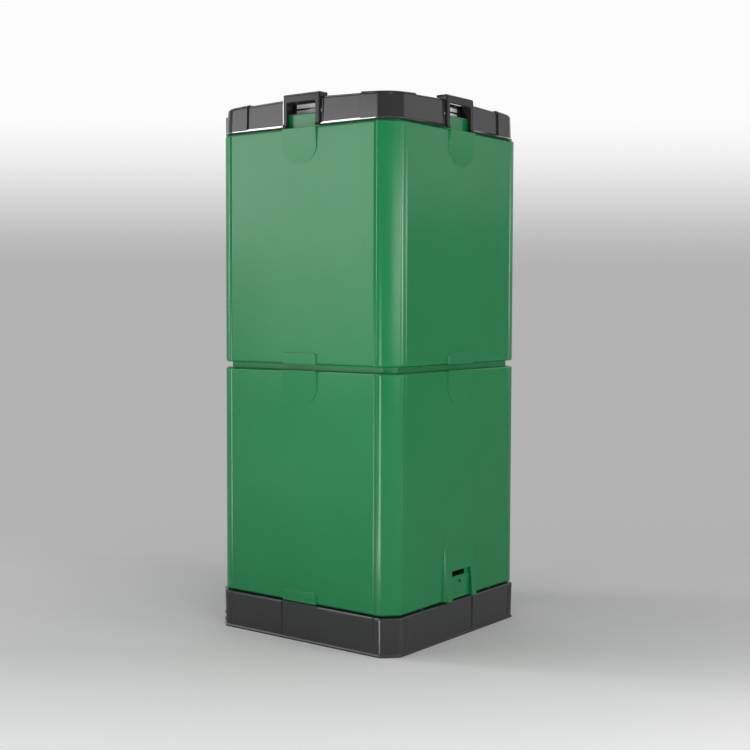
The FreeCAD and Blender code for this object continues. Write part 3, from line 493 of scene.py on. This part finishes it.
def inside(spot, outline):
    """Even-odd test of a flat point against a closed outline."""
    odd = False
    for a, b in zip(outline, outline[1:] + outline[:1]):
        if (a.y > spot.y) != (b.y > spot.y):
            odd ^= spot.x < a.x + (b.x - a.x) * (spot.y - a.y) / (b.y - a.y)
    return odd


def refill(bm, face):
    """Replace a crossed face by triangles that keep inside its outline."""
    turn = face.normal.to_track_quat("Z", "Y")
    level = (turn.inverted() @ face.verts[0].co).z
    verts = [loop.vert for loop in face.loops]
    flat = [(turn.inverted() @ v.co).xy for v in verts]
    lines = [(i, (i + 1) % len(flat)) for i in range(len(flat))]
    points, _, triangles, origin, _, _ = delaunay_2d_cdt(flat, lines, [], 0, FILL_DISTANCE)
    corners = [verts[ids[0]] if ids else bm.verts.new(turn @ Vector((p.x, p.y, level)))
               for p, ids in zip(points, origin)]
    bm.faces.remove(face)
    for triangle in triangles:
        trio = [corners[i] for i in triangle]
        middle = sum((points[i] for i in triangle), Vector((0.0, 0.0))) / 3
        if inside(middle, flat) and bm.faces.get(trio) is None:
            bm.faces.new(trio)


def untangle(mesh, solid, width):
    """Bring stray points back to the solid and refill the crossed faces."""
    bm = bmesh.new()
    bm.from_mesh(mesh)
    for vert in bm.verts:
        spot, _, _, gap = solid.find_nearest(vert.co)
        if gap > STRAY_SHARE * width:
            vert.co = spot
    bm.normal_update()
    for face in crossed_faces(bm):
        refill(bm, face)
    bm.to_mesh(mesh)
    bm.free()


# %% [markdown]
# ### Shading, finish and body
# The rounds are shaded softly and the large faces stay flat. What a narrow round mirrors depends on a
# few degrees of its slope. It could be reshaped for that, but turning its shading normals is enough and
# moves no point. One rule chooses the faces and another gives the new normal.

# %% Shade and dress
SMOOTH_ANGLE = math.radians(40)
FLAT_WEIGHT = 100


def settle(piece):
    """Shade the rounds softly and keep the large faces flat."""
    piece.data.shade_smooth()
    piece.data.set_sharp_from_angle(angle=SMOOTH_ANGLE)
    weighted = piece.modifiers.new("flat_faces", "WEIGHTED_NORMAL")
    weighted.keep_sharp = True
    weighted.weight = FLAT_WEIGHT
    bake(piece)


def turn_normals(piece, chosen, turned):
    """Turn the shading normals of the chosen faces; turned takes a face, a point and its normal."""
    mesh = piece.data
    normals = [corner.vector.copy() for corner in mesh.corner_normals]
    for face in filter(chosen, mesh.polygons):
        for index in face.loop_indices:
            point = mesh.vertices[mesh.loops[index].vertex_index].co
            normals[index] = turned(face, point, normals[index])
    mesh.normals_split_custom_set(normals)


def polish(piece, chosen, finish):
    """Give the chosen faces a second finish."""
    piece.data.materials.append(finish)
    for face in filter(chosen, piece.data.polygons):
        face.material_index = 1


def dress(piece, material, slot, body, *nodes):
    """Give a piece its finish and body, and let it stand for its solids."""
    piece.data.materials.clear()
    piece.data.materials.append(material)
    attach(piece, body)
    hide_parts(*nodes)
    print(piece.name, len(piece.data.polygons), "faces for", ", ".join(nodes))


# %% [markdown]
# ## Green modules
# The two modules are the same moulding, apart from the vent hood on the lower one. Their upright
# corner lines are the roundest edges and draw the bright lines at the near corner, so those get the
# widest bevel. The grooves beside them stay crisp. A thick moulding sinks as it cools, so its corners are
# never quite flat. That swelling is a fraction of a millimetre; it could be modelled, but turning the
# shading normals of the corner faces shows it without moving a point.

# %% Module shells
BODY_HALF = 0.260
FACE_SLACK = 0.0005
CORNER_START = 0.2168
CORNER_HALF = 0.0176
CORNER_LINES = (0.224, 0.232)
CORNER_ROUND = 0.005
CORNER_SWELL = math.radians(5)
CORNER_SHARE = 0.6
CORNER_TILT = 0.05
GROOVE_FLOOR = (BODY_HALF - 0.003, BODY_HALF - 0.001)
GROOVE_START = 0.205
GROOVE_FLOOR_ROUND = 0.0003
GROOVE_RIM_ROUND = 0.0015
MODULE_ROUND = 0.0014


def module_rounds(edge):
    """Bevel width for a line of a module shell."""
    a, b = (v.co for v in edge.verts)
    near, far = sorted((abs(a.x), abs(a.y)))
    if abs(a.x - b.x) > MERGE_DISTANCE or abs(a.y - b.y) > MERGE_DISTANCE:
        return MODULE_ROUND
    if GROOVE_FLOOR[0] < far < GROOVE_FLOOR[1] and near < CORNER_START:
        return GROOVE_FLOOR_ROUND
    if far > BODY_HALF - FACE_SLACK and CORNER_LINES[0] < near < CORNER_LINES[1]:
        return CORNER_ROUND
    return GROOVE_RIM_ROUND if near > GROOVE_START else MODULE_ROUND


def on_corner(face):
    """Whether a face stands upright on an outer corner."""
    middle = face.center
    outward = face.normal.dot(middle) > 0 and abs(face.normal.z) < CORNER_TILT
    return outward and min(abs(middle.x), abs(middle.y)) > CORNER_START


def swollen(face, point, normal):
    """Normal on a corner that swells a little."""
    lead = math.atan2(math.copysign(1, face.center.y), math.copysign(1, face.center.x))
    across = Vector((-math.sin(lead), math.cos(lead), 0))
    reach = max(-1.0, min(1.0, point.dot(across) / CORNER_HALF))
    off = math.remainder(math.atan2(normal.y, normal.x) - lead, math.tau)
    turn = lead + CORNER_SHARE * off + CORNER_SWELL * reach
    return Vector((math.cos(turn), math.sin(turn), 0))


for part in ("lower", "upper"):
    module = rounded_copy(part + "_shell", part + "_module", module_rounds, LARGE_SEGMENTS)
    turn_normals(module, on_corner, swollen)
    dress(module, green, "green_plastic", "body", part + "_shell")

# %% [markdown]
# ## Black base
# The base is one moulding with rounded corners like the modules above it. Its corner lines catch a
# lamp in the photograph. They could be drawn in for that, but it is enough to lean their shading
# normals up.

# %% Base
BASE_FACE = 0.2615
BASE_CORNER_LINES = (0.222, 0.236)
BASE_TALL_LINE = 0.02
BASE_ROUND = 0.0012
BASE_LEAN = math.radians(9)
BASE_TILT = 0.2
ROUND_FACING = (0.73, 0.996)


def base_rounds(edge):
    """Bevel width for a line of the base."""
    a, b = (v.co for v in edge.verts)
    near, far = sorted((abs(a.x), abs(a.y)))
    tall = abs(a.z - b.z) > BASE_TALL_LINE
    at_corner = far > BASE_FACE and BASE_CORNER_LINES[0] < near < BASE_CORNER_LINES[1]
    return CORNER_ROUND if tall and at_corner else BASE_ROUND


def on_base_round(face):
    """Whether a face lies in the round of an upright corner line."""
    middle = face.center
    outer = face.normal.dot(middle) > 0 and min(abs(middle.x), abs(middle.y)) > CORNER_START
    facing = max(abs(face.normal.x), abs(face.normal.y))
    return outer and abs(face.normal.z) < BASE_TILT and ROUND_FACING[0] < facing < ROUND_FACING[1]


def leaned(_face, _point, normal):
    """Normal on a corner that draws in a little."""
    return (normal + Vector((0.0, 0.0, math.tan(BASE_LEAN)))).normalized()


base = rounded_copy("base_tray", "base", base_rounds, LARGE_SEGMENTS)
turn_normals(base, on_base_round, leaned)
dress(base, base_black, "black_plastic", "body", "base_tray")

# %% [markdown]
# ## Black lid
# The lid's edges are crisp, and the windows in its latch recesses stay square. In the photograph its
# sloped lower edge draws a pale line along the front. A strip could be laid on it, but the slope only
# needs a glossier finish and, on the front, shading that leans farther outwards than the slope does.

# %% Lid
RECESS_BACK = 0.217
RECESS_SLACK = 0.001
LID_ROUND = 0.0008
LIP_RISE = 0.0065
LIP_SLOPE = math.sqrt(0.5)
LIP_SLACK = 0.1
LIP_LEAN = math.radians(30)
LIP_FRONT = -0.5


def lid_rounds(edge):
    """Bevel width for a line of the lid; the windows in the latch recesses stay square."""
    a, b = (v.co for v in edge.verts)
    out = max(abs(a.x + b.x), abs(a.y + b.y)) / 2
    return 0.0 if out < RECESS_BACK + RECESS_SLACK else LID_ROUND


def lip_normal(face, _point, _normal):
    """Normal on the lid's lower edge; the front of it leans farther outwards."""
    lean = LIP_LEAN if face.normal.y < LIP_FRONT else math.asin(face.normal.z)
    flat = face.normal.xy.normalized() * math.cos(lean)
    return Vector((flat.x, flat.y, math.sin(lean)))


lid = rounded_copy("lid_shell", "lid", lid_rounds, SMALL_SEGMENTS)
lip_top = min(vert.co.z for vert in lid.data.vertices) + LIP_RISE


def on_lip(face):
    """Whether a face lies on the sloped lower edge of the lid."""
    return face.center.z < lip_top and abs(face.normal.z - LIP_SLOPE) < LIP_SLACK


dress(lid, black, "black_plastic", "lid", "lid_shell")
polish(lid, on_lip, lip_black)
turn_normals(lid, on_lip, lip_normal)

# %% [markdown]
# ## Latches
# The latches are handled, so their edges are rounder, most of all at the upper ends and along the
# outer lines of the legs. The left leg of the front latch catches the lamp of the lid's lower edge in
# the photograph. It could have a lamp of its own, but it takes that edge's finish and lean instead.

# %% Latches
LATCH_HALF = 0.054
LATCH_FACE = 0.259
LATCH_HEAD = 0.008
LATCH_ROUND = 0.0016
LATCH_END_ROUND = 0.004
LEG_ROUND = 0.003
LEG_LINE = 0.01
LEG_REACH = 0.004
LEG_FACING = 0.1
LEG_TILT = 0.3


def latch_rounds(edge):
    """Bevel width for a line of a latch; its upper ends and the outer lines of its legs are rounder."""
    a, b = (v.co for v in edge.verts)
    if min(abs(a.x), abs(a.y), abs(b.x), abs(b.y)) < LATCH_HALF - FACE_SLACK:
        return LATCH_ROUND
    if min(a.z, b.z) > cad_box[1][2] - LATCH_HEAD:
        return LATCH_END_ROUND
    outer = max(abs(a.x), abs(a.y)) > LATCH_FACE - FACE_SLACK
    return LEG_ROUND if outer and abs(a.z - b.z) > LEG_LINE else LATCH_ROUND


def on_left_leg(face):
    """Whether a face lies in the outer line of the front latch's left leg."""
    near = face.center.x < LEG_REACH - LATCH_HALF and face.center.y < LEG_REACH - LATCH_FACE
    facing = face.normal.x < -LEG_FACING and face.normal.y < -LEG_FACING
    return near and facing and abs(face.normal.z) < LEG_TILT


def leg_normal(_face, _point, _normal):
    """Normal with the lean of the lid's lower edge at the front."""
    return Vector((0.0, -math.cos(LIP_LEAN), math.sin(LIP_LEAN)))


for side in ("front", "right", "rear", "left"):
    handle = rounded_copy("latch_" + side, side + "_handle", latch_rounds, LARGE_SEGMENTS)
    dress(handle, latch_black, "black_plastic", side + "_latch", "latch_" + side)
    if side == "front":
        polish(handle, on_left_leg, lip_black)
        turn_normals(handle, on_left_leg, leg_normal)

# %% [markdown]
# ## Vent shutter
# The shutter is a small moulded plate in the hood. It could keep its square edges, but the edge of a
# thin plate is what is seen of it, so it takes the same rounded copy.

# %% Shutter
SHUTTER_ROUND = 0.0007
shutter = rounded_copy("vent_shutter", "shutter_plate", lambda edge: SHUTTER_ROUND, SMALL_SEGMENTS)
dress(shutter, green, "green_plastic", "shutter", "vent_shutter")

# %% [markdown]
# ## Drain fittings, button and aeration core
# These are small mouldings that are handled or looked at with the lid off. They could keep the sharp
# edges of the solids, but half a millimetre of rounding is what lets an edge be seen at all.

# %% Small mouldings
SMALL_ROUND = 0.0005
SMALL = {
    "drain_spout": ("body", black, "black_plastic"),
    "drain_nut": ("body", black, "black_plastic"),
    "drain_cap": ("cap", black, "black_plastic"),
    "vent_knob": ("shutter", black, "black_plastic"),
    "core_foot": ("body", grey, "grey_plastic"),
    "core_joint": ("body", grey, "grey_plastic"),
    "core_cap": ("body", grey, "grey_plastic"),
}
for name, (body, finish, slot) in SMALL.items():
    moulding = rounded_copy(name, name + "_moulding", lambda edge: SMALL_ROUND, SMALL_SEGMENTS)
    dress(moulding, finish, slot, body, name)

# %% [markdown]
# ## Screws
# Sixteen equal screws close the modules and hold the lid's lining. Each could be modelled by hand, but
# they are one shape on many points. So a node tree builds one screw, with a bevelled head and a cross
# slot, and sets it on every point of a mesh. The points are the feet of the screws in the solids, so
# a screw stays where its hole is.

# %% Screw tree
SCREW = {"Head Radius": 0.0044, "Head Height": 0.003, "Head Bevel": 0.0007, "Shank Radius": 0.00225,
         "Shank Length": 0.023, "Slot Length": 0.0052, "Slot Width": 0.0011, "Slot Depth": 0.0014}
SCREW_SIDES = 24
SCREW_SMOOTH = math.radians(30)


def rod(tree, radius, length, foot):
    """Upright cylinder that starts at a height."""
    node = tree_node(tree, "GeometryNodeMeshCylinder", Vertices=SCREW_SIDES, Radius=radius, Depth=length)
    half = math_node(tree, "MULTIPLY", length, 0.5)
    up = tree_node(tree, "ShaderNodeCombineXYZ", Z=math_node(tree, "ADD", foot, half))
    move = tree_node(tree, "GeometryNodeTransform", Geometry=node.outputs["Mesh"],
                     Translation=up.outputs["Vector"])
    return move.outputs["Geometry"]


def one_screw(tree, given):
    """Cross-slotted screw with its head down, from the tree's inputs."""
    radius, bevel = given["Head Radius"], given["Head Bevel"]
    rim = tree_node(tree, "GeometryNodeMeshCone", Vertices=SCREW_SIDES, Radius_Top=radius, Depth=bevel,
                    Radius_Bottom=math_node(tree, "SUBTRACT", radius, bevel)).outputs["Mesh"]
    drum = rod(tree, radius, math_node(tree, "SUBTRACT", given["Head Height"], bevel), bevel)
    shank = rod(tree, given["Shank Radius"], given["Shank Length"], given["Head Height"])
    solid = tree.nodes.new("GeometryNodeMeshBoolean")
    solid.operation = "UNION"
    for shape in (rim, drum, shank):
        set_inputs(tree, solid, Mesh_2=shape)
    cut = tree_node(tree, "GeometryNodeMeshBoolean", Mesh_1=solid.outputs["Mesh"])
    cut.operation = "DIFFERENCE"
    deep = math_node(tree, "MULTIPLY", given["Slot Depth"], 2.0)
    for long, wide in (("Slot Length", "Slot Width"), ("Slot Width", "Slot Length")):
        size = tree_node(tree, "ShaderNodeCombineXYZ", X=given[long], Y=given[wide], Z=deep)
        bar = tree_node(tree, "GeometryNodeMeshCube", Size=size.outputs["Vector"])
        set_inputs(tree, cut, Mesh_2=bar.outputs["Mesh"])
    return cut.outputs["Mesh"]


def screw_tree():
    """Tree that puts a screw on every point of a mesh."""
    tree = bpy.data.node_groups.new("screws_on_points", "GeometryNodeTree")
    tree.interface.new_socket("Points", in_out="INPUT", socket_type="NodeSocketGeometry")
    for name in SCREW:
        tree.interface.new_socket(name, in_out="INPUT", socket_type="NodeSocketFloat")
    tree.interface.new_socket("Finish", in_out="INPUT", socket_type="NodeSocketMaterial")
    tree.interface.new_socket("Screws", in_out="OUTPUT", socket_type="NodeSocketGeometry")
    given = tree.nodes.new("NodeGroupInput").outputs
    copies = tree_node(tree, "GeometryNodeInstanceOnPoints", Points=given["Points"],
                       Instance=one_screw(tree, given))
    whole = tree_node(tree, "GeometryNodeRealizeInstances", Geometry=copies.outputs["Instances"])
    paint = tree_node(tree, "GeometryNodeSetMaterial", Geometry=whole.outputs["Geometry"],
                      Material=given["Finish"])
    tree_node(tree, "NodeGroupOutput", Screws=paint.outputs["Geometry"])
    return tree


def feet_of(node):
    """Lowest middle point of every separate screw in a solid."""
    bm = merged_solid(node)
    left = set(bm.verts)
    feet = []
    while left:
        reached = [left.pop()]
        for vert in reached:
            near = {edge.other_vert(vert) for edge in vert.link_edges} & left
            left -= near
            reached.extend(near)
        spots = [vert.co for vert in reached]
        middle = [(min(s[i] for s in spots) + max(s[i] for s in spots)) / 2 for i in (0, 1)]
        feet.append((*middle, min(s.z for s in spots)))
    bm.free()
    return sorted(feet)


# %% Screws on their points
screws = screw_tree()
for node, body in (("lower_ring_screws", "body"), ("upper_ring_screws", "body"), ("lid_screws", "lid")):
    mesh = bpy.data.meshes.new(node + "_points")
    mesh.from_pydata(feet_of(node), [], [])
    piece = bpy.data.objects.new(node + "_set", mesh)
    scene.collection.objects.link(piece)
    modifier = piece.modifiers.new("screws", "NODES")
    modifier.node_group = screws
    for item in screws.interface.items_tree:
        if item.in_out == "INPUT" and item.name in SCREW:
            modifier[item.identifier] = SCREW[item.name]
        elif item.name == "Finish":
            modifier[item.identifier] = zinc
    print(node, "points", len(mesh.vertices))
    bake(piece)
    piece.data.shade_smooth()
    piece.data.set_sharp_from_angle(angle=SCREW_SMOOTH)
    dress(piece, zinc, "steel", body, node)

# %% [markdown]
# ## Solids that keep their own shape
# Liners, rings, boards, seals, pins, the grate, the duct and the two lengths of the core could be rounded
# too, but hardly any of their edges are seen. They only need their finishes, which go on the material
# slots of the solids themselves.

# %% Finishes on the solids
FINISH = {"green_plastic": green, "black_plastic": black, "grey_plastic": grey, "foam": foam,
          "seal_rubber": rubber, "steel": zinc}
slot_of = {part["node"]: part["material_slot"] for part in frame["record"]["subparts"]}
for name, solid in frame["nodes"].items():
    solid.data.materials.clear()
    solid.data.materials.append(FINISH[slot_of[name]])
frame["nodes"]["latch_pins"].data.materials[0] = blackened
print("finished solids", len(slot_of))
